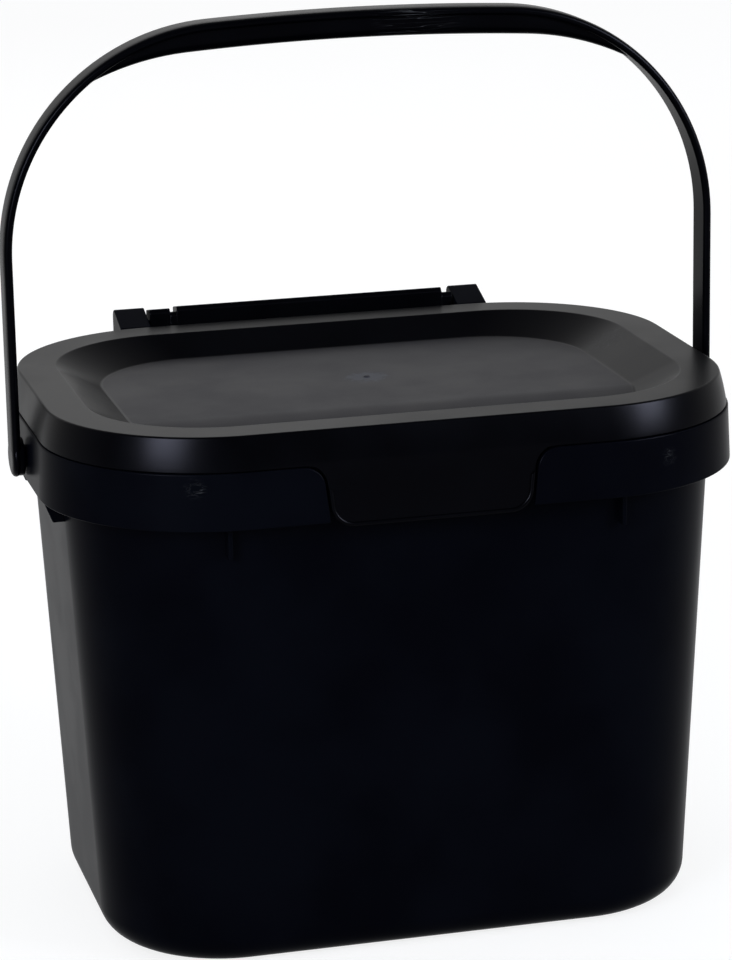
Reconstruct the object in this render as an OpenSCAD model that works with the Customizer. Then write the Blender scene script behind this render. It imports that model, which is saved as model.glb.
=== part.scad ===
// Kitchen compost caddy: a tapered bucket, a lid hinged at the back and a swing handle.
// The origin is the centre of the base, +X is to the right, the front faces -Y and +Z is up.
// Most shapes are one profile carried round the same plan, a rectangle of corner centres.
// Such a profile is drawn as distance out from that rectangle against height.

/* [Plan] */
// Width over the lid
lid_w = 240; // [224:1:264]
// Depth over the lid
lid_d = 174; // [162:1:190]
// Corner radius of the lid seen from above
corner_r = 59; // [54:0.5:64]

/* [Bucket] */
// Height of the ledge that the lid closes on
ledge_z = 177.7; // [160:0.1:200]
// Thickness of the bucket's wall
wall_t = 2; // [1.6:0.1:2.6]
// Thickness of the bucket's floor
floor_t = 2.5; // [2:0.1:4]
// How far the foot of the wall stands in from the lid's edge
foot_inset = 14.7; // [12:0.1:18]
// How far the top of the wall stands in from the lid's edge
top_inset = 5.7; // [5:0.1:6.5]
// Radius of the rounding between wall and base
base_round = 10.7; // [6:0.1:14]
// Height of the lip that stands inside the lid
lip_h = 3.4; // [2:0.1:3.8]
// How much the lip's outer face leans in
lip_taper = 0.4; // [0.2:0.1:0.8]
// Small bevel on the rim's outer edge
edge_break = 0.4; // [0.2:0.1:0.8]

/* [Band] */
// Height of the band that hangs from the ledge
band_h = 19.1; // [18:0.1:24]
// Thickness of the band and of the ledge
band_t = 2; // [1.6:0.1:2.2]
// How far the band stands proud of the lid
band_proud = 0.5; // [0.2:0.1:1]
// How much further out the foot of the band stands than its top
band_flare = 0.8; // [0.2:0.1:1.4]
// Thickness of a stiffening rib
rib_t = 1.6; // [1.2:0.1:2.4]
// How far the ribs at front and back show below the band
rib_drop = 11; // [6:0.5:14]
// How far those ribs stand out from the wall at their foot
rib_foot = 4; // [2:0.1:5]
// How far the ribs at the sides show below the band
side_rib_drop = 8.5; // [6:0.5:14]
// How far those ribs stand out from the wall at their foot
side_rib_foot = 4; // [2:0.1:5]
// How far the ribs at front and back stand past the corner centres
rib_past_x = 6.5; // [2:0.5:8]
// How far the ribs at the sides stand past the corner centres
rib_past_y = 0.5; // [0:0.5:6]

/* [Lid] */
// Height of the lid above its parting line
lid_h = 11.7; // [10:0.1:14]
// Thickness of the lid
lid_t = 2; // [1.6:0.1:2.4]
// Gap between the lid's skirt and the ledge
lid_gap = 0.3; // [0.2:0.05:0.6]
// Angle that the lid's skirt leans in, in degrees
skirt_lean = 13; // [8:0.5:16]
// Radius of the lid's top edge
edge_round = 0.8; // [0.6:0.1:1.6]
// Width of the flat border round the sunk panel
border_w = 16; // [12:0.5:18]
// Depth of the sunk panel
panel_drop = 7.5; // [5:0.1:7.8]
// Distance from the lid's edge to the panel's floor at each side
panel_side = 31; // [26:0.5:36]
// Distance from the lid's edge to the panel's floor at front and back
panel_front = 25.3; // [22:0.1:30]
// Corner radius of the panel's floor
panel_r = 37; // [30:0.5:40]

/* [Latch tab] */
// Half width of the tab's opening at the foot of the band
tab_half_w = 34.7; // [28:0.1:42]
// How much wider the opening is at the top, each side
tab_flare = 1.4; // [0:0.1:4]
// Radius of the band's corner beside the tab
flare_r = 7.2; // [5:0.1:9]
// Gap between the tab and the band
tab_gap = 0.8; // [0.5:0.1:1.2]
// How far the tab reaches below the band
tab_below = 1.8; // [1:0.1:4]
// Radius of the tab's lower corners
tab_r = 8; // [5:0.5:12]
// Width of the raised bead round the tab
bead_w = 1.6; // [1:0.1:2.5]
// Height of the raised bead
bead_h = 0.7; // [0.3:0.1:1.2]
// Clearance between the tab and the ledge behind it
catch_gap = 0.4; // [0.3:0.05:0.6]
// Height of the catch behind the tab
catch_h = 2; // [1:0.1:3]
// Width of the catch behind the tab
catch_w = 34; // [20:1:50]

/* [Hinge] */
// Distance from the lid's back edge to the hinge axis
hinge_out = 8.6; // [8:0.1:9]
// Height of the hinge axis above the ledge
hinge_up = 9.3; // [9:0.1:10]
// Radius of the trunnions on the lid's bar
trunnion_r = 2.5; // [2:0.1:2.8]
// Running clearance of a trunnion in its bore
trunnion_fit = 0.05; // [0.03:0.01:0.1]
// Gap between the lid's back edge and the lugs
lug_gap = 0.6; // [0.5:0.1:0.8]
// Distance from the hinge axis to the back of the lugs
lug_back = 7.9; // [7:0.1:9]
// Height of the lugs above the hinge axis
lug_top = 6.1; // [5.8:0.1:7]
// Width of each lug
lug_w = 11.4; // [10:0.1:14]
// Thickness of a lug's walls
lug_t = 2.2; // [1.8:0.1:3]
// How far a lug starts above the foot of the band
lug_up = 2; // [1:0.5:6]
// Height of the slant under a lug
lug_slant = 8; // [4:0.5:10]
// Height of the slope on top of a lug
lug_rise = 4.4; // [3:0.1:5]
// Radius of a lug's upper back edge
lug_round = 3; // [1:0.5:4]
// Half length of the lid's hinge bar
bar_half = 58.2; // [54:0.1:59]
// Gap between the bar and each lug
bar_play = 0.6; // [0.4:0.1:1]
// Gap at the tip of each trunnion
tip_play = 0.3; // [0.3:0.1:0.8]
// Height of the bar's foot above the ledge
bar_up = 5.6; // [5:0.1:6.5]
// How far the web under the bar runs into the lid's skirt
bar_root = 1.2; // [0.8:0.1:1.6]
// Distance from the lid's back edge to the bar's front
bar_out = 5; // [4:0.1:5.5]
// Depth of the bar from front to back
bar_d = 8; // [7:0.1:9]
// Height of the bar above the hinge axis
bar_top = 7.5; // [7:0.1:8]
// Height of the slant along the top of the bar's front
slant_h = 1.4; // [0.8:0.1:2]
// Width of that slant
slant_w = 1.2; // [0.8:0.1:1.8]
// How much the bar's top falls to the back
bar_fall = 2; // [1:0.1:3]
// Where the bar's raised middle starts, left of the centre
raised_left = 48; // [44:0.5:50]
// Where the bar's raised middle ends, right of the centre
raised_right = 54; // [50:0.5:55]
// How much lower the bar's ends are than its middle
end_step = 2; // [1:0.1:2.5]
// Length of the block on the bar's left end
block_l = 7.7; // [4:0.1:8.5]
// How much lower that block is than the bar's middle
block_step = 0.6; // [0.3:0.1:1]

/* [Handle] */
// Thickness of the handle's strap
strap_t = 3.1; // [2.4:0.1:3.6]
// Width of the handle's strap
strap_w = 13; // [10:0.5:15]
// Radius of the strap's round foot
foot_r = 7.2; // [7.2:0.1:8.5]
// Depth of the pivot below the ledge
pivot_down = 11.1; // [9:0.1:11.5]
// Height of the strap's straight part above the pivot
straight_h = 68.7; // [50:0.1:90]
// Outer radius of the handle's corners
shoulder_r = 77.5; // [60:0.5:90]
// Outer radius of the handle's gently arched top
crown_r = 930; // [500:10:1200]
// Thickness of the spacing boss on each foot
boss_t = 1.4; // [1:0.1:3]
// Radius of the spacing boss
boss_r = 6.7; // [6:0.1:7]
// Radius of the pivot pins
pin_r = 3.95; // [3:0.05:4.2]
// Running clearance of a pivot pin in its bore
pin_fit = 0.05; // [0.03:0.01:0.1]
// Clearance at each side of the band along a pivot pin
pin_play = 0.35; // [0.3:0.05:0.5]
// Radius of the head that holds a pivot pin
head_r = 5; // [4.6:0.1:5.2]
// Length of that head
head_t = 1.5; // [1:0.1:1.8]

/* [Grip] */
// Depth of the grip below the strap
grip_h = 7; // [4:0.1:10]
// Width of the grip under the strap
grip_w = 9; // [6:0.5:10]
// Half length of the grip's level part
grip_flat = 60; // [40:1:70]
// Radius of the grip's falling ends
grip_end_r = 95; // [80:1:140]

/* [Hidden] */
$fn = 96;
arc_steps = 8;                                   // straight pieces in a small drawn arc
bend_steps = 24;                                 // straight pieces in one bend of the handle
eps = 0.01;                                      // overlap where a drawn solid joins its neighbour
cut = 1;                                         // how far a cutting shape runs past what it cuts

core_x = lid_w / 2 - corner_r;                   // corner centres, half width
core_y = lid_d / 2 - corner_r;                   // corner centres, half depth
rib_x = core_x + rib_past_x;
rib_y = core_y + rib_past_y;
plastic = [0.09, 0.09, 0.1];

// Bucket, as distances out from the corner centres
foot_out = corner_r - foot_inset;
top_out = corner_r - top_inset;
draft = atan((top_out - foot_out) / ledge_z);
inner_round = base_round - wall_t;
band_out = corner_r + band_proud;
band_in = band_out - band_t;
band_foot = band_out + band_flare;
band_z = ledge_z - band_h;

// Lid
skirt_z = ledge_z + lid_gap;
lid_z = ledge_z + lid_h;
skirt_t = lid_t / cos(skirt_lean);               // the skirt's thickness measured level
skirt_in = corner_r - skirt_t;
inner_edge_round = 0.5;
panel_z = lid_z - panel_drop;
panel_core_x = lid_w / 2 - panel_side - panel_r;
panel_core_y = lid_d / 2 - panel_front - panel_r;

// Latch tab
tab_face = -lid_d / 2;
tab_lean = atan(band_flare / band_h);            // the tab leans out like the band beside it
flare_x = tab_half_w + tab_flare + flare_r;      // centre of the band's corner beside the tab
flare_z = ledge_z - flare_r;
tab_slope = tab_flare / (flare_z - band_z);
tab_foot_z = band_z - tab_below;

// Hinge
hinge_y = lid_d / 2 + hinge_out;
hinge_z = ledge_z + hinge_up;
lug_front = lid_d / 2 + lug_gap;
lug_rear = hinge_y + lug_back;
lug_root = core_y + band_out - band_t / 2;       // the lug grows out of the middle of the band
lug_in = bar_half + bar_play;                    // inner face of each lug
bar_front = lid_d / 2 + bar_out;
bar_rear = bar_front + bar_d;
bar_foot = ledge_z + bar_up;
bar_root_y = lid_d / 2 - (bar_foot - skirt_z) * tan(skirt_lean) - bar_root;
trunnion_tip = lug_in + lug_w - lug_t;

// Handle
pivot_z = ledge_z - pivot_down;
boss_x = core_x + band_foot + pin_play;
strap_x = boss_x + boss_t + strap_t;             // outer face of the strap
shoulder_x = strap_x - shoulder_r;
shoulder_z = pivot_z + straight_h;
crown_tilt = asin(shoulder_x / (crown_r - shoulder_r));
crown_z = shoulder_z - (crown_r - shoulder_r) * cos(crown_tilt);
pin_end = core_x + band_in - pin_play;
grip_r = crown_r - strap_t - grip_h;             // radius of the grip's level underside
grip_tilt = asin(grip_flat / grip_r);
grip_end_x = (grip_r - grip_end_r) * sin(grip_tilt);
grip_end_z = crown_z + (grip_r - grip_end_r) * cos(grip_tilt);

// Distance out to the bucket's wall at height z
function wall_out(z) = foot_out + z * tan(draft);
// Centre of a rounding of radius r under the lid's top edge, distance out, for a wall that leans in
function edge_centre(wall, r, top) = wall - (top - r - skirt_z) * tan(skirt_lean) - r / cos(skirt_lean);
// Points along an arc
function arc(x, y, r, from, to, steps = arc_steps) =
    [for (i = [0:steps]) let (a = from + (to - from) * i / steps) [x + r * cos(a), y + r * sin(a)]];
// A list of points without its first one
function after_first(points) = [for (i = [1:len(points) - 1]) points[i]];
// The same points on the other side of the middle
function mirrored(points) = [for (i = [len(points) - 1:-1:0]) [-points[i][0], points[i][1]]];

// Carries a profile once round the plan: four quarter turns and four straights
module round_plan() {
    for (x = [-1, 1], y = [-1, 1])
        translate([x * core_x, y * core_y, 0])
            rotate([0, 0, x > 0 ? (y > 0 ? 0 : 270) : (y > 0 ? 90 : 180)])
                rotate_extrude(angle = 90) children();
    for (side = [0, 180]) {
        rotate([0, 0, side]) translate([core_x, core_y, 0])
            rotate([90, 0, 0]) linear_extrude(2 * core_y) children();
        rotate([0, 0, side + 90]) translate([core_y, core_x, 0])
            rotate([90, 0, 0]) linear_extrude(2 * core_x) children();
    }
}

// Fills the rectangle of corner centres between two heights
module core_block(from, to) {
    translate([-core_x, -core_y, from]) cube([2 * core_x, 2 * core_y, to - from]);
}

// Extrudes an outline drawn in depth and height by a width, centred on x
module across(x, width) {
    translate([x - width / 2, 0, 0]) rotate([90, 0, 90]) linear_extrude(width) children();
}

// Extrudes an outline drawn in x and height from y towards the back
module backwards(y, depth) {
    translate([0, y + depth, 0]) rotate([90, 0, 0]) linear_extrude(depth) children();
}

// Floor, wall, ledge, band and lip as one profile
module bucket_profile() {
    inner_foot = foot_out - wall_t / cos(draft);
    inner_z = floor_t + inner_round;
    outer_c = foot_out + base_round * tan(draft) - base_round / cos(draft);
    inner_c = inner_foot + inner_z * tan(draft) - inner_round / cos(draft);
    lip_z = ledge_z + lip_h;
    polygon(concat(
        [[0, 0]],
        arc(outer_c, base_round, base_round, -90, -draft),
        [[wall_out(ledge_z - band_t), ledge_z - band_t],
         [band_in, ledge_z - band_t],
         [band_foot - band_t, band_z],
         [band_foot, band_z],
         [band_out, ledge_z - edge_break],
         [band_out - edge_break, ledge_z],
         [top_out, ledge_z],
         [top_out - lip_taper, lip_z],
         [top_out - wall_t / cos(draft) + lip_taper / 2, lip_z]],
        arc(inner_c, inner_z, inner_round, -draft, -90),
        [[0, floor_t]]
    ));
}

// One stiffening rib between wall and band, drawn as distance out against height
module rib_profile(drop, foot, head) {
    rib_z = band_z - drop;
    polygon([
        [wall_out(rib_z) - wall_t / 2, rib_z],
        [wall_out(rib_z) + foot, rib_z],
        [head, band_z],
        [band_out - band_t / 2, ledge_z - band_t / 2],
        [wall_out(rib_z) - wall_t / 2, ledge_z - band_t / 2]
    ]);
}

// The eight ribs, upright in pairs on the front and the back, leaning out on the two sides
module ribs() {
    upright = wall_out(band_z - rib_drop) + rib_foot;
    for (side = [0, 180]) {
        for (x = [-rib_x, rib_x])
            rotate([0, 0, side + 90]) translate([core_y, x + rib_t / 2, 0])
                rotate([90, 0, 0]) linear_extrude(rib_t)
                    rib_profile(rib_drop, rib_foot, upright);
        for (y = [-rib_y, rib_y])
            rotate([0, 0, side]) translate([core_x, y + rib_t / 2, 0])
                rotate([90, 0, 0]) linear_extrude(rib_t)
                    rib_profile(side_rib_drop, side_rib_foot, band_foot - band_t / 2);
    }
}

// Opening in the band for the latch tab, flared at the top
module tab_opening() {
    side = concat(
        [[tab_half_w - tab_slope * cut, band_z - cut]],
        arc(flare_x, flare_z, flare_r, 180, 90),
        [[flare_x, ledge_z + cut]]
    );
    backwards(-core_y - band_foot - cut, band_foot + cut - corner_r + lid_t + catch_gap)
        polygon(concat(side, mirrored(side)));
}

// Outline of the latch tab, drawn smaller all round by inset
module tab_outline(inset) {
    foot = tab_half_w + tab_slope * (tab_r - tab_below) - tab_gap - inset;
    r = tab_r - inset;
    side = concat(
        arc(foot - r, tab_foot_z + tab_r, r, 270, 360),
        arc(flare_x, flare_z, flare_r + tab_gap + inset, 180, 90),
        [[flare_x, skirt_z + lid_t * sin(tab_lean) + eps]]
    );
    polygon(concat(side, mirrored(side)));
}

// Side view of a lug: a block behind the lid with a top that slopes to the front
module lug_profile() {
    foot_z = band_z + lug_up;
    top_z = hinge_z + lug_top;
    polygon(concat(
        [[lug_front + lug_t, foot_z],
         [lug_root, foot_z],
         [lug_root, ledge_z - edge_break],
         [lug_front, ledge_z - edge_break],
         [lug_front, top_z - lug_rise]],
        arc(lug_rear - lug_round, top_z - lug_round, lug_round, 90, 0),
        [[lug_rear, foot_z + lug_slant]]
    ));
}

// One hinge lug, cored out from below and bored for a trunnion
module lug(side) {
    x = side * (lug_in + lug_w / 2);
    core_top = hinge_z - trunnion_r - lug_t;
    difference() {
        across(x, lug_w) lug_profile();
        translate([x - lug_w / 2 + lug_t, lug_front + lug_t, band_z])
            cube([lug_w - 2 * lug_t, lug_rear - lug_front - 2 * lug_t, core_top - band_z]);
    }
}

module bucket() {
    color(plastic) difference() {
        union() {
            round_plan() bucket_profile();
            core_block(0, floor_t);
            ribs();
            for (side = [-1, 1]) lug(side);
        }
        tab_opening();
        // Bores for the handle's pins
        for (side = [-1, 1])
            translate([side * (core_x + (band_in + band_out) / 2), 0, pivot_z])
                rotate([0, 90, 0]) cylinder(h = 2 * band_t, r = pin_r + pin_fit, center = true);
        // Bores for the lid's trunnions, closed at the outer end
        for (side = [0, 180])
            rotate([0, 0, side]) translate([lug_in - cut, (side > 0 ? -1 : 1) * hinge_y, hinge_z])
                rotate([0, 90, 0])
                    cylinder(h = trunnion_tip + tip_play - lug_in + cut, r = trunnion_r + trunnion_fit);
    }
}

// The dish of the sunk panel, drawn larger all round by grow, from the lid's top down
module panel_dish(grow, top) {
    hull() {
        for (x = [-1, 1], y = [-1, 1]) {
            translate([x * core_x, y * core_y, top - eps])
                cylinder(h = eps, r = corner_r - border_w + grow, $fn = 64);
            translate([x * panel_core_x, y * panel_core_y, panel_z - grow])
                cylinder(h = eps, r = panel_r + grow / 2, $fn = 64);
        }
    }
}

// Skirt and top of the lid before the panel is sunk in it
module lid_cap() {
    under_top = lid_z - lid_t;
    difference() {
        union() {
            round_plan() polygon(concat(
                [[0, skirt_z], [corner_r, skirt_z]],
                arc(edge_centre(corner_r, edge_round, lid_z), lid_z - edge_round, edge_round,
                    skirt_lean, 90),
                [[0, lid_z]]
            ));
            core_block(skirt_z, lid_z);
        }
        round_plan() polygon(concat(
            [[0, skirt_z - cut], [skirt_in + cut * tan(skirt_lean), skirt_z - cut]],
            arc(edge_centre(skirt_in, inner_edge_round, under_top), under_top - inner_edge_round,
                inner_edge_round, skirt_lean, 90),
            [[0, under_top]]
        ));
        core_block(skirt_z - cut, under_top);
    }
}

// Latch tab with its bead, and the small catch behind it, before it leans out
module upright_tab() {
    backwards(tab_face, lid_t) tab_outline(0);
    difference() {
        backwards(tab_face - bead_h, bead_h + lid_t / 2) intersection() {
            tab_outline(0);
            translate([-lid_w / 2, 0]) square([lid_w, flare_z]);
        }
        backwards(tab_face - bead_h - cut, bead_h + lid_t + cut) tab_outline(bead_w);
    }
    translate([-catch_w / 2, tab_face + lid_t / 2, ledge_z - band_t - catch_gap - catch_h])
        cube([catch_w, lid_t / 2 + catch_gap, catch_h]);
}

// The tab turned outwards about the foot of the skirt
module latch_tab() {
    translate([0, tab_face, skirt_z]) rotate([-tab_lean, 0, 0])
        translate([0, -tab_face, -skirt_z]) upright_tab();
}

// Side view of the hinge bar and the web that carries it, with its ridge at a given height
module bar_profile(ridge_z) {
    polygon([
        [bar_root_y, bar_foot],
        [bar_root_y, bar_foot + lid_t],
        [bar_front, bar_foot + lid_t],
        [bar_front, ridge_z - slant_h],
        [bar_front + slant_w, ridge_z],
        [bar_rear, ridge_z - bar_fall],
        [bar_rear, bar_foot]
    ]);
}

// Side view of the hollow in the bar, open below
module bar_hollow(ridge_z) {
    polygon([
        [bar_front + lid_t, bar_foot - cut],
        [bar_front + lid_t, ridge_z - slant_h - lid_t],
        [bar_rear - lid_t, ridge_z - bar_fall - lid_t],
        [bar_rear - lid_t, bar_foot - cut]
    ]);
}

// A length of the hinge bar between two places along x
module bar_length(from, to, step) {
    across((from + to) / 2, to - from) bar_profile(hinge_z + bar_top - step);
}

// Hinge bar: a channel open below, with lower solid ends, a block on the left and two trunnions
module hinge_bar() {
    difference() {
        bar_length(-raised_left - eps, raised_right + eps, 0);
        across((raised_right - raised_left) / 2, raised_right + raised_left)
            bar_hollow(hinge_z + bar_top);
    }
    bar_length(-bar_half, -raised_left, end_step);
    bar_length(raised_right, bar_half, end_step);
    bar_length(-bar_half, block_l - bar_half, block_step);
    for (side = [0, 180])
        rotate([0, 0, side]) translate([bar_half - lid_t, (side > 0 ? -1 : 1) * hinge_y, hinge_z])
            rotate([0, 90, 0]) cylinder(h = trunnion_tip - bar_half + lid_t, r = trunnion_r);
}

module lid() {
    color(plastic) union() {
        difference() {
            union() {
                lid_cap();
                panel_dish(lid_t, lid_z - lid_t / 2);
            }
            panel_dish(0, lid_z + eps);
        }
        latch_tab();
        hinge_bar();
    }
}

// Right half of a line along the handle's strap, at a depth below its outer face
function strap_line(depth) = concat(
    [[strap_x - depth, pivot_z]],
    arc(shoulder_x, shoulder_z, shoulder_r - depth, 0, 90 - crown_tilt, bend_steps),
    after_first(arc(0, crown_z, crown_r - depth, 90 - crown_tilt, 90))
);
// The whole line, from the right foot over the top to the left foot
function whole_line(depth) = concat(strap_line(depth), after_first(mirrored(strap_line(depth))));
// A list of points in the other direction
function backward(points) = [for (i = [len(points) - 1:-1:0]) points[i]];

// Side to side view of the strap
module strap_outline() {
    polygon(concat(whole_line(0), backward(whole_line(strap_t))));
}

// Side to side view of the grip: level below, falling to a point at each end
module grip_outline() {
    // Angle on the falling end's circle where it crosses the underside of the strap's corner
    under_r = shoulder_r - strap_t;
    gap_x = shoulder_x - grip_end_x;
    gap_z = shoulder_z - grip_end_z;
    gap = norm([gap_x, gap_z]);
    along = (grip_end_r * grip_end_r - under_r * under_r + gap * gap) / (2 * gap);
    end_angle = atan2(gap_z, gap_x) - acos(along / grip_end_r);
    end_x = grip_end_x + grip_end_r * cos(end_angle);
    end_z = grip_end_z + grip_end_r * sin(end_angle);
    strap_angle = atan2(end_z - shoulder_z, end_x - shoulder_x);
    inside = strap_t / 2;                        // the grip's top runs along the middle of the strap
    half = concat(
        arc(0, crown_z, grip_r, 90, 90 - grip_tilt),
        after_first(arc(grip_end_x, grip_end_z, grip_end_r, 90 - grip_tilt, end_angle)),
        arc(shoulder_x, shoulder_z, shoulder_r - inside, strap_angle, 90 - crown_tilt),
        after_first(arc(0, crown_z, crown_r - inside, 90 - crown_tilt, 90))
    );
    other = mirrored(half);
    polygon(concat(half, [for (i = [1:len(other) - 2]) other[i]]));
}

// One foot: round end of the strap, spacing boss, pivot pin and its head
module handle_foot() {
    translate([0, 0, pivot_z]) rotate([0, 90, 0]) {
        translate([0, 0, strap_x - strap_t]) cylinder(h = strap_t, r = foot_r);
        translate([0, 0, boss_x]) cylinder(h = boss_t + strap_t / 2, r = boss_r);
        translate([0, 0, pin_end - head_t / 2]) cylinder(h = boss_x - pin_end + head_t, r = pin_r);
        translate([0, 0, pin_end - head_t]) cylinder(h = head_t, r = head_r);
    }
}

module handle() {
    color(plastic) union() {
        backwards(-strap_w / 2, strap_w) strap_outline();
        backwards(-grip_w / 2, grip_w) grip_outline();
        for (side = [0, 180]) rotate([0, 0, side]) handle_foot();
    }
}

bucket();
lid();
handle();
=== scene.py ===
from math import asin, atan2, cos, hypot, pi, radians, sin, sqrt, tan

import bmesh
import bpy
from mathutils import Matrix, Vector


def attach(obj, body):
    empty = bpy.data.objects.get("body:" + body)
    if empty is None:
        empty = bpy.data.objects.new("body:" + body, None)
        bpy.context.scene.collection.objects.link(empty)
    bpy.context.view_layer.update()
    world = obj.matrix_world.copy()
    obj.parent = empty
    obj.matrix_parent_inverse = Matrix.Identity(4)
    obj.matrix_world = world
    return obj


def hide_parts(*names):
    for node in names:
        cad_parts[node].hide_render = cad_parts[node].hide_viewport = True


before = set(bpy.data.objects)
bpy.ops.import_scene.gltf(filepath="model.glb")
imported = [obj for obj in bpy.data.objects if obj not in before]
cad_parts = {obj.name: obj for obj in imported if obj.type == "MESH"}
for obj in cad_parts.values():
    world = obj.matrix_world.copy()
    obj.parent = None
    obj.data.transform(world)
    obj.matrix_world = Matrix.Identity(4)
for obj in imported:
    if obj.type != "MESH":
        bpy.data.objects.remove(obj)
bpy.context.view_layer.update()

scene = bpy.context.scene
scene.view_settings.view_transform = "Standard"


# ---------------------------------------------------------------- Studio
# The caddy stands on a pale floor, seen a little from above and from the left. Soft lamps stand
# in front of it at both sides, each with one that only shines, and a wide lamp stands behind it.

camera = bpy.data.objects.new("camera", bpy.data.cameras.new("camera"))
camera.data.lens = 131.13
camera.data.sensor_width = 36
camera.data.shift_x = 0.0216
camera.data.shift_y = 0.0016
swing, tilt, lean = radians(-13.955), radians(15.17), radians(-1.16)
back = Vector((sin(swing) * cos(tilt), -cos(swing) * cos(tilt), sin(tilt)))
level = Vector((cos(swing), sin(swing), 0))
upright = back.cross(level)
right = level * cos(lean) + upright * sin(lean)
up = upright * cos(lean) - level * sin(lean)
stand = Matrix((right, up, back)).transposed().to_4x4()
camera.matrix_world = Matrix.Translation((-0.29464, -1.15399, 0.47006)) @ stand
scene.collection.objects.link(camera)
scene.camera = camera


def seen_directly(tree):
    """A value of 1 for what the camera sees straight, mirrored or through glass, else 0."""
    path = tree.nodes.new("ShaderNodeLightPath")
    total = None
    for ray in ("Is Camera Ray", "Is Glossy Ray", "Is Transmission Ray"):
        if total is None:
            total = path.outputs[ray]
            continue
        larger = tree.nodes.new("ShaderNodeMath")
        larger.operation = "MAXIMUM"
        tree.links.new(total, larger.inputs[0])
        tree.links.new(path.outputs[ray], larger.inputs[1])
        total = larger.outputs[0]
    return total


# Seen straight, the room is plain white all round. Mirrored, it is dim in front of the caddy.
room = bpy.data.worlds.new("white room")
room.use_nodes = True
scene.world = room
tree = room.node_tree
tree.nodes.clear()
plain = tree.nodes.new("ShaderNodeBackground")
plain.inputs["Color"].default_value = (0.55, 0.56, 0.58, 1)
white = tree.nodes.new("ShaderNodeBackground")
white.inputs["Color"].default_value = (1, 1, 1, 1)
way = tree.nodes.new("ShaderNodeSeparateXYZ")
tree.links.new(tree.nodes.new("ShaderNodeTexCoord").outputs["Generated"], way.inputs[0])
behind = tree.nodes.new("ShaderNodeMapRange")
behind.interpolation_type = "SMOOTHSTEP"
dim_until, white_from, dimmest = -0.3, 0.35, 0.12         # along Y, towards the back
for socket, number in zip(("From Min", "From Max", "To Min", "To Max"),
                          (dim_until, white_from, dimmest, 1)):
    behind.inputs[socket].default_value = number
tree.links.new(way.outputs["Y"], behind.inputs["Value"])
ray = tree.nodes.new("ShaderNodeLightPath")
strength = tree.nodes.new("ShaderNodeMath")
strength.operation = "MAXIMUM"
tree.links.new(ray.outputs["Is Camera Ray"], strength.inputs[0])
tree.links.new(behind.outputs["Result"], strength.inputs[1])
tree.links.new(strength.outputs[0], white.inputs["Strength"])
choice = tree.nodes.new("ShaderNodeMixShader")
result = tree.nodes.new("ShaderNodeOutputWorld")
tree.links.new(seen_directly(tree), choice.inputs["Fac"])
tree.links.new(plain.outputs[0], choice.inputs[1])
tree.links.new(white.outputs[0], choice.inputs[2])
tree.links.new(choice.outputs[0], result.inputs["Surface"])

pale_floor = bpy.data.materials.new("pale floor")
pale_floor.use_nodes = True
tree = pale_floor.node_tree
tree.nodes.clear()
matt = tree.nodes.new("ShaderNodeBsdfDiffuse")
matt.inputs["Color"].default_value = (0.3, 0.3, 0.3, 1)
glow = tree.nodes.new("ShaderNodeEmission")
glow.inputs["Strength"].default_value = 0.80
lit = tree.nodes.new("ShaderNodeAddShader")
choice = tree.nodes.new("ShaderNodeMixShader")
result = tree.nodes.new("ShaderNodeOutputMaterial")
tree.links.new(matt.outputs[0], lit.inputs[0])
tree.links.new(glow.outputs[0], lit.inputs[1])
tree.links.new(seen_directly(tree), choice.inputs["Fac"])
tree.links.new(matt.outputs[0], choice.inputs[1])
tree.links.new(lit.outputs[0], choice.inputs[2])
tree.links.new(choice.outputs[0], result.inputs["Surface"])

bm = bmesh.new()
bmesh.ops.create_grid(bm, x_segments=1, y_segments=1, size=9)
mesh = bpy.data.meshes.new("floor")
bm.to_mesh(mesh)
bm.free()
mesh.materials.append(pale_floor)
floor = bpy.data.objects.new("floor", mesh)
scene.collection.objects.link(floor)


def soft_lamp(name, place, aim, width, height, power, colour, shine_only=False):
    """A rectangular soft lamp that faces a point. One that is shine only shows in reflections."""
    lamp = bpy.data.lights.new(name, "AREA")
    lamp.shape = "RECTANGLE"
    lamp.size = width
    lamp.size_y = height
    lamp.energy = power
    lamp.color = colour
    stand = bpy.data.objects.new(name, lamp)
    facing = (Vector(place) - Vector(aim)).to_track_quat("Z", "Y")
    stand.matrix_world = Matrix.Translation(place) @ facing.to_matrix().to_4x4()
    stand.visible_camera = False
    stand.visible_diffuse = not shine_only
    scene.collection.objects.link(stand)


cool, white_light = (0.80, 0.87, 1.0), (1.0, 1.0, 1.0)
front_aim, back_aim = (0, 0, 0.15), (0, 0, 0.18)
soft_lamp("left lamp", (-0.90, -0.93, 0.62), front_aim, 0.42, 0.70, 6, cool)
soft_lamp("right lamp", (1.02, -0.84, 0.62), front_aim, 0.42, 0.70, 6, cool)
soft_lamp("left shine", (-0.91, -0.94, 0.66), front_aim, 0.50, 0.60, 62, cool, True)
soft_lamp("right shine", (1.03, -0.85, 0.66), front_aim, 0.50, 0.60, 62, cool, True)
soft_lamp("back lamp", (-0.3, 1.7, 1.05), back_aim, 1.8, 0.6, 3, white_light)


# ---------------------------------------------------------------- Bucket
# One moulding of black polypropylene: floor, tapered wall, ledge, band and lip in one skin of
# 2 mm. The band is open at the front for the latch tab. Ribs hold it to the wall, and two hollow
# lugs at the back carry the lid.

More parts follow.
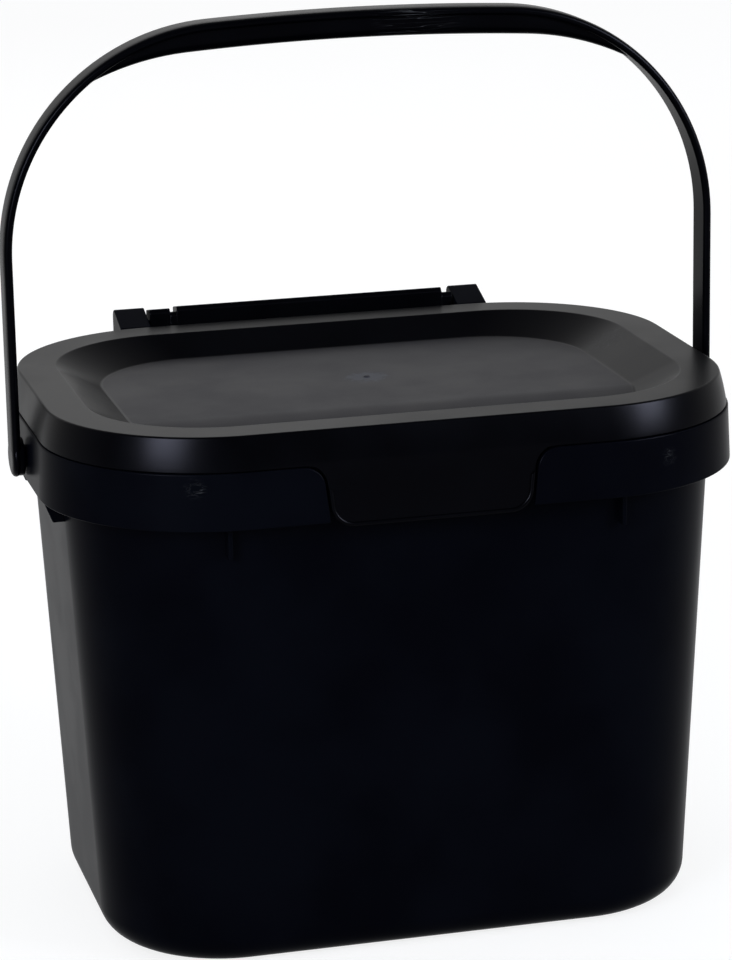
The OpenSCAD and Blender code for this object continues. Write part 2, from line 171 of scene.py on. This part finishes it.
mm = 0.001                        # the pieces are drawn in millimetres
same = 0.001                      # two points nearer than this are one
core_x, core_y = 61.0, 28.0       # corner centres that every rounded rectangle is drawn from
ledge_z = 177.7
wall_t = 2.0
foot_out, top_out = 44.3, 53.3    # how far out of the corner centres the wall stands
base_round = 10.7
floor_t = 2.5
band_out, band_t, band_z = 59.5, 2.0, 158.6
band_flare = 0.8                  # how much further out the band's foot stands
tab_seat = 56.6                   # front edge of the ledge behind the latch tab
opening_foot, opening_top = 34.7, 36.1
flare_x, flare_z, flare_r = 43.3, 170.5, 7.2
straight_from = 44.0              # where the whole band begins beside the opening


def string(bm, points, closed=False):
    """A chain of edges through the points."""
    corners = [bm.verts.new(p) for p in points]
    ends = corners + corners[:1] if closed else corners
    return [bm.edges.new(pair) for pair in zip(ends, ends[1:])]


def arc(x, z, r, start, end, steps):
    """Points on an arc, in degrees, in a flat drawing."""
    turns = [radians(start + (end - start) * i / steps) for i in range(steps + 1)]
    return [(x + r * cos(a), z + r * sin(a)) for a in turns]


def run_on(bm, edges, way):
    """Carries a chain of edges straight on and gives back its far end."""
    made = bmesh.ops.extrude_edge_only(bm, edges=edges)["geom"]
    far = {v for v in made if isinstance(v, bmesh.types.BMVert)}
    bmesh.ops.translate(bm, vec=way, verts=list(far))
    return [e for e in made if isinstance(e, bmesh.types.BMEdge) and set(e.verts) <= far]


def turn(bm, edges, centre, axis, angle, steps):
    """Carries a chain of edges round a centre and gives back its far end."""
    made = bmesh.ops.spin(bm, geom=edges, cent=centre, axis=axis, dvec=(0, 0, 0),
                          angle=radians(angle), steps=steps, use_merge=False,
                          use_duplicate=False)
    return [e for e in made["geom_last"] if isinstance(e, bmesh.types.BMEdge)]


def round_the_right(bm, edges, from_x, steps=28):
    """Carries a profile from the front straight round the right side to the middle of the back."""
    edges = run_on(bm, edges, (core_x - from_x, 0, 0))
    edges = turn(bm, edges, (core_x, -core_y, 0), (0, 0, 1), 90, steps)
    edges = run_on(bm, edges, (0, 2 * core_y, 0))
    edges = turn(bm, edges, (core_x, core_y, 0), (0, 0, 1), 90, steps)
    return run_on(bm, edges, (-core_x, 0, 0))


def on_front(profile, x):
    """A profile of distance out against height, set up across the front straight."""
    return [(x, -core_y - out, z) for out, z in profile]


def both_sides(bm):
    """Mirrors the right half to the left, closes the holes and turns every face outwards."""
    bmesh.ops.remove_doubles(bm, verts=bm.verts, dist=same)
    bmesh.ops.mirror(bm, geom=bm.verts[:] + bm.edges[:] + bm.faces[:], matrix=Matrix(),
                     merge_dist=same, axis="X")
    bmesh.ops.remove_doubles(bm, verts=bm.verts, dist=same)
    bmesh.ops.holes_fill(bm, edges=bm.edges, sides=0)
    bmesh.ops.recalc_face_normals(bm, faces=bm.faces)


def block(bm, outline, way):
    """A closed solid: an outline carried along one way."""
    first = bm.faces.new([bm.verts.new(p) for p in outline])
    made = bmesh.ops.extrude_face_region(bm, geom=[first], use_keep_orig=True)["geom"]
    bmesh.ops.translate(bm, vec=way, verts=[v for v in made if isinstance(v, bmesh.types.BMVert)])
    last = [f for f in made if isinstance(f, bmesh.types.BMFace)][0]
    whole = set(first.verts) | set(last.verts)
    solid = [f for f in bm.faces if set(f.verts) <= whole]
    bmesh.ops.recalc_face_normals(bm, faces=solid)


def pipe(bm, start, end, y, z, radius, segments=40):
    """A closed round bar along X."""
    lying = Matrix.Translation(((start + end) / 2, y, z)) @ Matrix.Rotation(radians(90), 4, "Y")
    bmesh.ops.create_cone(bm, cap_ends=True, cap_tris=False, segments=segments, radius1=radius,
                          radius2=radius, depth=abs(end - start), matrix=lying)


def finish(bm, name, node, plastic, edge_r):
    """Brings a piece to metres, rounds its sharp edges and hangs it on its body."""
    bmesh.ops.scale(bm, vec=(mm, mm, mm), verts=bm.verts)
    mesh = bpy.data.meshes.new(name)
    bm.to_mesh(mesh)
    bm.free()
    mesh.materials.append(plastic)
    mesh.shade_smooth()
    piece = bpy.data.objects.new(name, mesh)
    scene.collection.objects.link(piece)
    edges = piece.modifiers.new("rounded edges", "BEVEL")
    edges.width = edge_r * mm
    edges.segments = 3
    edges.limit_method = "ANGLE"
    edges.angle_limit = radians(20)
    edges.use_clamp_overlap = False
    piece.modifiers.new("even shading", "WEIGHTED_NORMAL").weight = 80
    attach(piece, node)
    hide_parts(node)
    return piece


def group(name, inputs, outputs):
    """An empty shader node group with its sockets."""
    made = bpy.data.node_groups.new(name, "ShaderNodeTree")
    for socket, value in inputs:
        made.interface.new_socket(socket, in_out="INPUT",
                                  socket_type="NodeSocketFloat").default_value = value
    for socket in outputs:
        made.interface.new_socket(socket, in_out="OUTPUT", socket_type="NodeSocketFloat")
    return made, made.nodes.new("NodeGroupInput"), made.nodes.new("NodeGroupOutput")


def math(tree, operation, a, b):
    """A math node on two values, each a socket or a number."""
    node = tree.nodes.new("ShaderNodeMath")
    node.operation = operation
    for given, socket in zip((a, b), node.inputs):
        if isinstance(given, (int, float)):
            socket.default_value = given
        else:
            tree.links.new(given, socket)
    return node.outputs[0]


def spread(tree, value, low, high, start, end):
    """Maps a value from one range to another and holds it there."""
    node = tree.nodes.new("ShaderNodeMapRange")
    node.interpolation_type = "SMOOTHSTEP"
    tree.links.new(value, node.inputs["Value"])
    for socket, number in zip(("From Min", "From Max", "To Min", "To Max"),
                              (low, high, start, end)):
        node.inputs[socket].default_value = number
    return node.outputs["Result"]


def noise(tree, scale, detail=2.0, rough=0.5, stretch=None):
    """Noise over the piece, finer with a larger scale, pulled out by the stretch."""
    node = tree.nodes.new("ShaderNodeTexNoise")
    node.inputs["Scale"].default_value = scale
    node.inputs["Detail"].default_value = detail
    node.inputs["Roughness"].default_value = rough
    place = tree.nodes.new("ShaderNodeTexCoord").outputs["Object"]
    if stretch:
        mapping = tree.nodes.new("ShaderNodeMapping")
        mapping.inputs["Rotation"].default_value = [radians(a) for a in stretch[0]]
        mapping.inputs["Scale"].default_value = stretch[1]
        tree.links.new(place, mapping.inputs["Vector"])
        place = mapping.outputs["Vector"]
    tree.links.new(place, node.inputs["Vector"])
    return node.outputs["Fac"]


def added(tree, shared):
    """A shared group, added to a tree."""
    node = tree.nodes.new("ShaderNodeGroup")
    node.node_tree = shared
    return node


def distance(tree, place):
    """How far a point of the piece lies from a place, which is a socket or three numbers."""
    node = tree.nodes.new("ShaderNodeVectorMath")
    node.operation = "DISTANCE"
    tree.links.new(tree.nodes.new("ShaderNodeTexCoord").outputs["Object"], node.inputs[0])
    if isinstance(place, tuple):
        node.inputs[1].default_value = place
    else:
        tree.links.new(place, node.inputs[1])
    return node.outputs["Value"]


# The skin that a polished and lightly grained mould leaves: a fine grain, and slow cloudy changes
skin, given, put = group("moulded skin", [], ["Grain", "Clouds"])
skin.links.new(noise(skin, 1900, 2.0), put.inputs["Grain"])
skin.links.new(spread(skin, noise(skin, 22, 3.0, 0.55), 0.32, 0.68, 0, 1), put.inputs["Clouds"])

# Hairline scratches from handling, all within a small round place
marks, given, put = group("handling marks", [("Size", 0.01)], ["Mask"])
marks.interface.new_socket("Place", in_out="INPUT", socket_type="NodeSocketVector")
lines = None
for turned in ((8, 14, 32), (12, 5, -47)):
    hair = noise(marks, 90, 1.0, 0.5, (turned, (0.25, 9, 9)))
    hair = spread(marks, math(marks, "ABSOLUTE", math(marks, "SUBTRACT", hair, 0.5), 0),
                  0.0, 0.008, 1, 0)
    lines = hair if lines is None else math(marks, "MAXIMUM", lines, hair)
near = math(marks, "DIVIDE", distance(marks, given.outputs["Place"]), given.outputs["Size"])
near = spread(marks, near, 0.3, 1, 1, 0)
marks.links.new(math(marks, "MULTIPLY", lines, near), put.inputs["Mask"])


blackest, black = (0.0004, 0.0005, 0.0011), (0.0008, 0.0010, 0.0018)
worn_colour = (0.055, 0.057, 0.062, 1)
sheen_tint = (0.92, 0.88, 1.0, 1)
matt_gloss, matt_rough = 0.152, 0.30          # where the skin is matt, and how much rougher it is


def black_plastic(name, gloss, rough, grain, worn_places, shade=1.0, matt=None, blush=None):
    """Black polypropylene with its moulded skin, and fine scratches in a few worn places. Where
    the group matt gives 1 it has a coarse matt grain, and the group blush marks more wear."""
    made = bpy.data.materials.new(name)
    made.use_nodes = True
    tree = made.node_tree
    tree.nodes.clear()
    shader = tree.nodes.new("ShaderNodeBsdfPrincipled")
    result = tree.nodes.new("ShaderNodeOutputMaterial")
    tree.links.new(shader.outputs[0], result.inputs["Surface"])
    shader.inputs["Specular IOR Level"].default_value = gloss
    shader.inputs["Specular Tint"].default_value = sheen_tint
    surface = added(tree, skin)
    scratched = None
    for place, size in worn_places:
        spot = added(tree, marks)
        spot.inputs["Place"].default_value = place
        spot.inputs["Size"].default_value = size
        mask = spot.outputs["Mask"]
        scratched = mask if scratched is None else math(tree, "MAXIMUM", scratched, mask)
    if blush:
        scratched = math(tree, "MAXIMUM", scratched, added(tree, blush).outputs["Mask"])
    colour = tree.nodes.new("ShaderNodeMix")
    colour.data_type = "RGBA"
    colour.inputs["A"].default_value = [part * shade for part in blackest] + [1]
    colour.inputs["B"].default_value = [part * shade for part in black] + [1]
    tree.links.new(surface.outputs["Clouds"], colour.inputs["Factor"])
    worn = tree.nodes.new("ShaderNodeMix")
    worn.data_type = "RGBA"
    worn.inputs["B"].default_value = worn_colour
    tree.links.new(scratched, worn.inputs["Factor"])
    tree.links.new(colour.outputs["Result"], worn.inputs["A"])
    tree.links.new(worn.outputs["Result"], shader.inputs["Base Color"])
    roughness = spread(tree, surface.outputs["Clouds"], 0, 1, rough - 0.02, rough + 0.02)
    roughness = math(tree, "ADD", roughness, math(tree, "MULTIPLY", scratched, 0.2))
    if matt:
        area = added(tree, matt).outputs["Mask"]
        roughness = math(tree, "ADD", roughness, math(tree, "MULTIPLY", area, matt_rough))
        level = spread(tree, area, 0, 1, gloss, matt_gloss)
        tree.links.new(level, shader.inputs["Specular IOR Level"])
    tree.links.new(roughness, shader.inputs["Roughness"])
    bump = tree.nodes.new("ShaderNodeBump")
    bump.inputs["Strength"].default_value = grain
    bump.inputs["Distance"].default_value = 0.00006
    tree.links.new(surface.outputs["Grain"], bump.inputs["Height"])
    tree.links.new(bump.outputs["Normal"], shader.inputs["Normal"])
    return made


draft = atan2(top_out - foot_out, ledge_z)
slope = (top_out - foot_out) / ledge_z
inner_round = base_round - wall_t
inner_foot = foot_out - wall_t / cos(draft)
outer_c = foot_out + base_round * slope - base_round / cos(draft)
inner_c = inner_foot + (floor_t + inner_round) * slope - inner_round / cos(draft)
draft_angle = draft * 180 / pi
under_z = ledge_z - band_t
lip_z = ledge_z + 3.4
lip_in, lip_t = 0.4, 1.4
wall_up = arc(outer_c, base_round, base_round, -90, -draft_angle, 10)
wall_up.append((foot_out + under_z * slope, under_z))
ledge_and_lip = [(top_out, ledge_z), (top_out - lip_in, lip_z), (top_out - lip_in - lip_t, lip_z)]
wall_down = arc(inner_c, floor_t + inner_round, inner_round, -draft_angle, -90, 10)


def band_face(z):
    """How far out the band's leaning face stands at a height."""
    return band_out + band_flare * (ledge_z - z) / (ledge_z - band_z)


band = [(tab_seat, under_z)] + [(band_face(z) - band_t, z) for z in (under_z, band_z)]
band += [(band_face(z), z) for z in (band_z, under_z, ledge_z)]
band += [(band_out - band_t, ledge_z), (tab_seat, ledge_z)]
seat = [band[0], band[-1]]

bm = bmesh.new()
behind_tab = string(bm, on_front(wall_up + seat + ledge_and_lip + wall_down, 0))
run_on(bm, behind_tab, (straight_from, 0, 0))
whole = string(bm, on_front(wall_up + band + ledge_and_lip + wall_down, straight_from))
round_the_right(bm, whole, straight_from)

# The end of the band beside the opening, with its flared corner
end = [(straight_from, band_z), (straight_from, under_z), (straight_from, ledge_z)]
end += arc(flare_x, flare_z, flare_r, 90, 180, 10)
end += [(opening_foot, band_z)]
block(bm, [(x, -core_y - band_face(z), z) for x, z in end], (0, band_t, 0))
butt = [f for f in bm.faces if all(abs(v.co.x - straight_from) < same for v in f.verts)
        and f.calc_area() > 0.1]
bmesh.ops.delete(bm, geom=butt, context="FACES_ONLY")
both_sides(bm)

# Ribs between the wall and the band, in pairs on all four sides
rib_t, rib_foot = 1.6, 4
front_rib_x, front_rib_drop = core_x + 6.5, 11.0
side_rib_y, side_rib_drop = core_y + 0.5, 8.5


def rib(drop, upright):
    """A rib's outline, distance out against height. It stands upright or leans out to the band."""
    rib_z = band_z - drop
    wall = foot_out + rib_z * slope
    foot = wall + rib_foot
    return [(wall - 1, rib_z), (foot, rib_z), (foot if upright else band_out - 0.2, band_z),
            (band_out - 1, ledge_z - 1), (wall - 1, ledge_z - 1)]


for x in (-front_rib_x, front_rib_x):
    for front in (-1, 1):
        block(bm, [(x - rib_t / 2, front * (core_y + out), z)
                   for out, z in rib(front_rib_drop, True)], (rib_t, 0, 0))
for y in (-side_rib_y, side_rib_y):
    for side in (-1, 1):
        block(bm, [(side * (core_x + out), y - rib_t / 2, z)
                   for out, z in rib(side_rib_drop, False)], (0, rib_t, 0))

# Hinge lugs, cored out from below, with a top that slopes to the front
hinge_y, hinge_z, trunnion_r = 95.6, 187.0, 2.5
lug_in, lug_w, lug_t = 58.8, 11.4, 2.2
lug_front, lug_rear, lug_foot, lug_top = 87.6, 103.5, 160.6, 193.1
lug_heel, lug_shelf = 86.5, ledge_z - 0.4      # its foot runs forward below the lid
lug_rise, lug_round, lug_slant = 4.4, 3, 8
lug = [(lug_front + lug_t, lug_foot), (lug_heel, lug_foot), (lug_heel, lug_shelf),
       (lug_front, lug_shelf), (lug_front, lug_top - lug_rise)]
lug += arc(lug_rear - lug_round, lug_top - lug_round, lug_round, 90, 0, 6)
lug += [(lug_rear, lug_foot + lug_slant)]
core_top = hinge_z - trunnion_r - lug_t
for side in (-1, 1):
    block(bm, [(side * lug_in, y, z) for y, z in lug], (side * lug_w, 0, 0))
    slanting_foot = Vector((side * (lug_in + lug_w / 2), 0, lug_foot + lug_slant / 2))
    under = []
    for f in bm.faces:
        off = f.calc_center_median() - slanting_foot
        if abs(off.x) < 0.1 and abs(off.z) < 0.5 and off.y > lug_front:
            under.append(f)
    bmesh.ops.inset_region(bm, faces=under, thickness=lug_t, use_even_offset=True)
    made = bmesh.ops.extrude_face_region(bm, geom=under)["geom"]
    bmesh.ops.delete(bm, geom=under, context="FACES_ONLY")
    for v in made:
        if isinstance(v, bmesh.types.BMVert):
            v.co.z = core_top

# Two places on the band's front corners are scuffed
scuffs = [((-0.079, -0.085, 0.173), 0.0045), ((0.083, -0.083, 0.170), 0.004)]
bucket_plastic = black_plastic("bucket plastic", 0.0072, 0.30, 0.10, scuffs, shade=2.7)
finish(bm, "bucket_moulding", "bucket", bucket_plastic, 0.4)


# ---------------------------------------------------------------- Lid
# One moulding of the same black polypropylene, 2 mm thick: a skirt, a flat border and a sunk
# panel. A latch tab hangs at the front, and a bar with two trunnions snaps into the lugs.

lid_z, skirt_z, skirt_out = 189.4, 178.0, 59.0
lid_t = 2.0
skirt_lean = tan(radians(13))
bulge, bulge_steps = 0.22, 6      # the skirt bulges a little between its foot and its top
edge_round = 0.65
border_in = 43.0
panel_z, panel_x, panel_y, panel_r = 181.9, 52.0, 24.7, 37.0
tab_drop = 1.8                    # how far the tab hangs below the band
tab_foot = band_z - tab_drop
tab_gap, tab_r = 0.8, 8.0

bm = bmesh.new()
border_out = skirt_out - (lid_z - skirt_z) * skirt_lean
skirt = []
for i in range(bulge_steps + 1):
    up = i / bulge_steps
    skirt.append((skirt_out + (border_out - skirt_out) * up + 4 * bulge * up * (1 - up),
                  skirt_z + (lid_z - skirt_z) * up))
skirt.append((border_in, lid_z))
front = string(bm, on_front(skirt, 0))
front = run_on(bm, front, (flare_x, 0, 0))
round_the_right(bm, front, flare_x)

# The tab runs down from the skirt, with flared shoulders and round lower corners
lean_in = (opening_top - opening_foot) / (flare_z - band_z)
tab_foot_x = opening_foot + lean_in * (tab_r - tab_drop) - tab_gap
shoulder = arc(flare_x, flare_z, flare_r + tab_gap, 90, 180, 10)
shoulder = [(x, z) for x, z in shoulder if z < skirt_z - 0.01]
tab = [(0, skirt_z), (flare_x, skirt_z)] + shoulder
tab += arc(tab_foot_x - tab_r, tab_foot + tab_r, tab_r, 0, -90, 10) + [(0, tab_foot)]


def tab_face(z):
    """Depth of the tab's face at a height: it leans out like the band beside it."""
    return -core_y - skirt_out - (skirt_z - z) * band_flare / (ledge_z - band_z)


bm.faces.new([bm.verts.new((x, tab_face(z), z)) for x, z in tab])
bmesh.ops.remove_doubles(bm, verts=bm.verts, dist=same)
bmesh.ops.mirror(bm, geom=bm.verts[:] + bm.edges[:] + bm.faces[:], matrix=Matrix(),
                 merge_dist=same, axis="X")
bmesh.ops.remove_doubles(bm, verts=bm.verts, dist=same)


def level(part, z):
    """Whether an edge or a face lies flat at a height."""
    return all(abs(v.co.z - z) < same for v in part.verts)


# The panel: the border's inner edge carried down and in to the floor, which closes it
rim = [e for e in bm.edges if e.is_boundary and level(e, lid_z)]
made = bmesh.ops.extrude_edge_only(bm, edges=rim)["geom"]
for v in made:
    if isinstance(v, bmesh.types.BMVert):
        near = Vector((max(-core_x, min(core_x, v.co.x)), max(-core_y, min(core_y, v.co.y)), 0))
        out = (v.co - near) * (panel_r / border_in)
        v.co = (near.x * panel_x / core_x + out.x, near.y * panel_y / core_y + out.y, panel_z)
rim = [e for e in bm.edges if e.is_boundary and level(e, panel_z)]
bmesh.ops.contextual_create(bm, geom=rim)

# Along its front the floor dips softly into a shallow gutter
gutter_y, gutter_half, gutter_deep = -52.0, 24.0, 3.0
for i in range(14):
    floor_part = [f for f in bm.faces if level(f, panel_z)]
    floor_part += list({e for f in floor_part for e in f.edges}
                       | {v for f in floor_part for v in f.verts})
    bmesh.ops.bisect_plane(bm, geom=floor_part, plane_no=(0, 1, 0),
                           plane_co=(0, gutter_y + gutter_half - gutter_half / 10 * i, 0))
for v in bm.verts:
    if abs(v.co.z - panel_z) < same and abs(v.co.y - gutter_y) < gutter_half:
        v.co.z -= gutter_deep / 2 * (1 + cos(pi * (v.co.y - gutter_y) / gutter_half))
bmesh.ops.recalc_face_normals(bm, faces=bm.faces)
if max(bm.faces, key=lambda f: f.calc_center_median().z).normal.z < 0:
    bmesh.ops.reverse_faces(bm, faces=bm.faces)
bmesh.ops.solidify(bm, geom=bm.faces[:], thickness=lid_t)
top_edge = []
for e in bm.edges:
    plan = [hypot(max(abs(v.co.x) - core_x, 0), max(abs(v.co.y) - core_y, 0)) for v in e.verts]
    if level(e, lid_z) and min(plan) > border_out - 0.01:
        top_edge.append(e)
bmesh.ops.bevel(bm, geom=top_edge, offset=edge_round, segments=5, profile=0.5, affect="EDGES",
                material=-1)

# A half-round bead runs round the tab's sides and foot, raised from its face in narrow strips
bead_h, bead_strips, first_lean, each_lean = 0.69, 10, 76.5, 17
outline = [(opening_top - tab_gap, flare_z)]
outline += arc(tab_foot_x - tab_r, tab_foot + tab_r, tab_r, 0, -90, 10)
outline += [(-x, z) for x, z in reversed(outline)]
before = set(bm.faces)
face = bm.faces.new([bm.verts.new((x, tab_face(z), z)) for x, z in reversed(outline)])
face.normal_update()
leans = [radians(first_lean - each_lean * i) for i in range(bead_strips)]
strip = bead_h / sum(sin(a) for a in leans[:bead_strips // 2])
for a in leans:
    bmesh.ops.inset_individual(bm, faces=[face], thickness=strip * cos(a), depth=strip * sin(a),
                               use_even_offset=True)
bead_end = flare_z - 1.7
gone = [f for f in bm.faces if f not in before
        and (f is face or min(v.co.z for v in f.verts) > bead_end)]
bmesh.ops.delete(bm, geom=gone, context="FACES")

# The catch behind the tab
catch_y, catch_z = -85.4, 174.3
catch_w, catch_d, catch_h = 34, 1.2, 2.0
bmesh.ops.create_cube(bm, size=1, matrix=Matrix.Translation((0, catch_y, catch_z))
                      @ Matrix.Diagonal((catch_w, catch_d, catch_h, 1)))

# Hinge bar on a low web: raised in the middle, with a block on the left end, hollow below
bar_foot, bar_front, bar_rear, bar_top = 183.3, 92.0, 100.0, 194.5
bar_core, trunnion_tip = 4, 68.0
bar_half, web_front = 58.2, 84.6
slant_w, slant_h, rear_fall = 1.2, 1.4, 1.5
lengths = [(-50.5, 0.6), (-48.0, 2.0), (54.0, 0.0), (bar_half, 2.0)]     # each end and its step
step = lengths[0][1]
outline = [(web_front, bar_foot), (web_front, bar_foot + lid_t), (bar_front, bar_foot + lid_t),
           (bar_front, bar_top - slant_h - step), (bar_front + slant_w, bar_top - step),
           (bar_rear, bar_top - rear_fall - step), (bar_rear, bar_foot), (bar_front, bar_foot)]
before = set(bm.faces)
end = bm.faces.new([bm.verts.new((-bar_half, y, z)) for y, z in outline])
at, keep = -bar_half, True
for x, next_step in lengths:
    for way in ((0, 0, step - next_step), (x - at, 0, 0)):
        if max(way) == min(way) == 0:
            continue
        made = bmesh.ops.extrude_face_region(bm, geom=[end], use_keep_orig=True)["geom"]
        if not keep:
            bmesh.ops.delete(bm, geom=[end], context="FACES_ONLY")
        keep = False
        end = [f for f in made if isinstance(f, bmesh.types.BMFace)][0]
        moved = [v for v in end.verts if way[0] or v.co.z > hinge_z]
        bmesh.ops.translate(bm, vec=way, verts=moved)
    at, step = x, next_step
whole_bar = [f for f in bm.faces if f not in before]
bmesh.ops.remove_doubles(bm, verts=list({v for f in whole_bar for v in f.verts}), dist=same)
whole_bar = [f for f in bm.faces if f not in before]
bmesh.ops.recalc_face_normals(bm, faces=whole_bar)
under = [f for f in whole_bar if f.is_valid and f.normal.z < -0.99 and f.calc_area() > 500
         and f.calc_center_median().y > bar_front]
bmesh.ops.inset_region(bm, faces=under, thickness=lid_t, use_even_offset=True)
made = bmesh.ops.extrude_face_region(bm, geom=under)["geom"]
bmesh.ops.delete(bm, geom=under, context="FACES_ONLY")
for v in made:
    if isinstance(v, bmesh.types.BMVert):
        v.co.z = bar_top - bar_core
for side in (-1, 1):
    pipe(bm, side * (bar_half - 1), side * trunnion_tip, hinge_y, hinge_z, trunnion_r, 32)

# The pip that the moulding's gate leaves, a little off the middle of the panel
pip_x, pip_y = 3.7, 12.0
bmesh.ops.create_cone(bm, cap_ends=True, segments=24, radius1=1.3, radius2=0.9, depth=0.8,
                      matrix=Matrix.Translation((pip_x, pip_y, panel_z + 0.2)))

# The panel's floor has a coarse matt grain, up to the foot of its slopes
floor_grain, given, put = group("floor grain", [], ["Mask"])
axes = floor_grain.nodes.new("ShaderNodeSeparateXYZ")
where = floor_grain.nodes.new("ShaderNodeTexCoord")
floor_grain.links.new(where.outputs["Object"], axes.inputs[0])
past = None
for axis, half in (("X", panel_x), ("Y", panel_y)):
    beyond = math(floor_grain, "SUBTRACT", math(floor_grain, "ABSOLUTE", axes.outputs[axis], 0),
                  half * mm)
    beyond = math(floor_grain, "POWER", math(floor_grain, "MAXIMUM", beyond, 0), 2)
    past = beyond if past is None else math(floor_grain, "ADD", past, beyond)
past = math(floor_grain, "SQRT", past, 0)
inside = spread(floor_grain, past, (panel_r - 1.2) * mm, panel_r * mm, 1, 0)
mottled = spread(floor_grain, noise(floor_grain, 34, 5.0, 0.62), 0.35, 0.68, 0.88, 1.04)
floor_grain.links.new(math(floor_grain, "MULTIPLY", inside, mottled), put.inputs["Mask"])

# Round the pip the plastic is blushed pale, in a ragged star
gate_blush, given, put = group("gate blush", [], ["Mask"])
away = distance(gate_blush, (pip_x * mm, pip_y * mm, panel_z * mm))
ragged = math(gate_blush, "MULTIPLY", noise(gate_blush, 420, 3.0, 0.6), 14 * mm)
near = spread(gate_blush, math(gate_blush, "SUBTRACT", away, ragged), -2.0 * mm, 1.2 * mm, 1, 0)
beside = spread(gate_blush, away, 0.9 * mm, 1.6 * mm, 0, 1)
gate_blush.links.new(math(gate_blush, "MULTIPLY", near, beside), put.inputs["Mask"])

scratches = [((0.098, 0.023, 0.184), 0.012), ((0.004, 0.012, 0.182), 0.014)]
lid_plastic = black_plastic("lid plastic", 0.022, 0.30, 0.12, scratches, matt=floor_grain,
                            blush=gate_blush)
finish(bm, "lid_moulding", "lid", lid_plastic, 0.35)


# ---------------------------------------------------------------- Handle
# One moulding of black polypropylene: a flat strap bent over in an arch, with a rounded grip
# below its top. Each round foot has a spacing boss, and a headed pin that snaps through the band.

strap_x, strap_t, strap_w = 126.15, 3.1, 13.0
pivot_z, foot_r = 166.6, 7.2
shoulder_x, shoulder_z, shoulder_r = 48.65, 235.3, 77.5
crown_r = 930.0
crown_tilt = asin(shoulder_x / (crown_r - shoulder_r))
crown_z = shoulder_z - (crown_r - shoulder_r) * cos(crown_tilt)
ridge = 0.8                       # the strap's edges stand out to a soft ridge, the parting line
round_w, round_deep = 2.6, 0.35   # its outer face is a little round towards both edges

bm = bmesh.new()
foot_h = sqrt(foot_r ** 2 - (strap_w / 2) ** 2)
sections, corners = [], []
for x, r in ((strap_x - strap_t, foot_r - ridge), (strap_x - strap_t / 2, foot_r),
             (strap_x - round_deep, foot_r - ridge), (strap_x, foot_r - round_w)):
    lift = asin(foot_h / r) * 180 / pi
    outline = arc(0, pivot_z, r, 180 - lift, 360 + lift, 32)
    corners.append((x, outline[-1][0], pivot_z + foot_h))
    sections.append(string(bm, [(x, y, z) for y, z in outline], True))
for one, other in zip(sections, sections[1:]):
    bmesh.ops.bridge_loops(bm, edges=one + other)
foot_top = pivot_z + foot_h
cap = [f for f in bm.faces if level(f, foot_top)]
bmesh.ops.delete(bm, geom=cap, context="FACES")
strap = string(bm, corners + [(x, -y, z) for x, y, z in reversed(corners)], True)
strap = run_on(bm, strap, (0, 0, shoulder_z - foot_top))
strap = turn(bm, strap, (shoulder_x, 0, shoulder_z), (0, -1, 0), 90 - crown_tilt * 180 / pi, 40)
strap = turn(bm, strap, (0, 0, crown_z), (0, -1, 0), crown_tilt * 180 / pi, 8)
both_sides(bm)

# The grip: a rounded belly that falls to a point at each end
grip_h, grip_w = 7.0, 9.0
grip_flat, grip_end_r = 60.0, 95.0
grip_r = crown_r - strap_t - grip_h
grip_tilt = asin(grip_flat / grip_r)
end_x = (grip_r - grip_end_r) * sin(grip_tilt)
end_z = crown_z + (grip_r - grip_end_r) * cos(grip_tilt)


def strap_inside(x):
    """Height of the strap's middle line at a distance from the centre."""
    if x < crown_r * sin(crown_tilt):
        return crown_z + sqrt((crown_r - strap_t / 2) ** 2 - x * x)
    return shoulder_z + sqrt((shoulder_r - strap_t / 2) ** 2 - (x - shoulder_x) ** 2)


def grip_under(x):
    """Height of the grip's underside at a distance from the centre."""
    if x < grip_flat:
        return crown_z + sqrt(grip_r ** 2 - x * x)
    return end_z + sqrt(grip_end_r ** 2 - (x - end_x) ** 2)


grip_end, grip_steps = 97, 36
loops = []
for i in range(-grip_steps, grip_steps + 1):
    x = i * grip_end / grip_steps
    top = strap_inside(abs(x))
    deep = max(top - grip_under(abs(x)), 0.3)
    half = grip_w / 2 * min(1, sqrt(deep / (grip_h + strap_t / 2)))
    rounded = [(half, top)]
    for a in range(0, 181, 12):
        turned = radians(a)
        rounded.append((half * cos(turned), top - deep + min(half, deep) * (1 - sin(turned))))
    rounded.append((-half, top))
    loops.append(string(bm, [(x, y, z) for y, z in rounded], True))
for one, other in zip(loops, loops[1:]):
    bmesh.ops.bridge_loops(bm, edges=one + other)

# Spacing bosses, pins and their heads, each a radius, a start and an end
turned_parts = ((6.7, 121.65, strap_x - strap_t / 2), (3.95, 117.4, 122.6), (5.0, 116.65, 118.15))
for side in (-1, 1):
    for radius, start, end in turned_parts:
        pipe(bm, side * start, side * end, 0, pivot_z, radius)

handle_plastic = black_plastic("handle plastic", 0.015, 0.28, 0.06, [((0.02, 0, 0.314), 0.02)])
finish(bm, "handle_moulding", "handle", handle_plastic, 0.7)
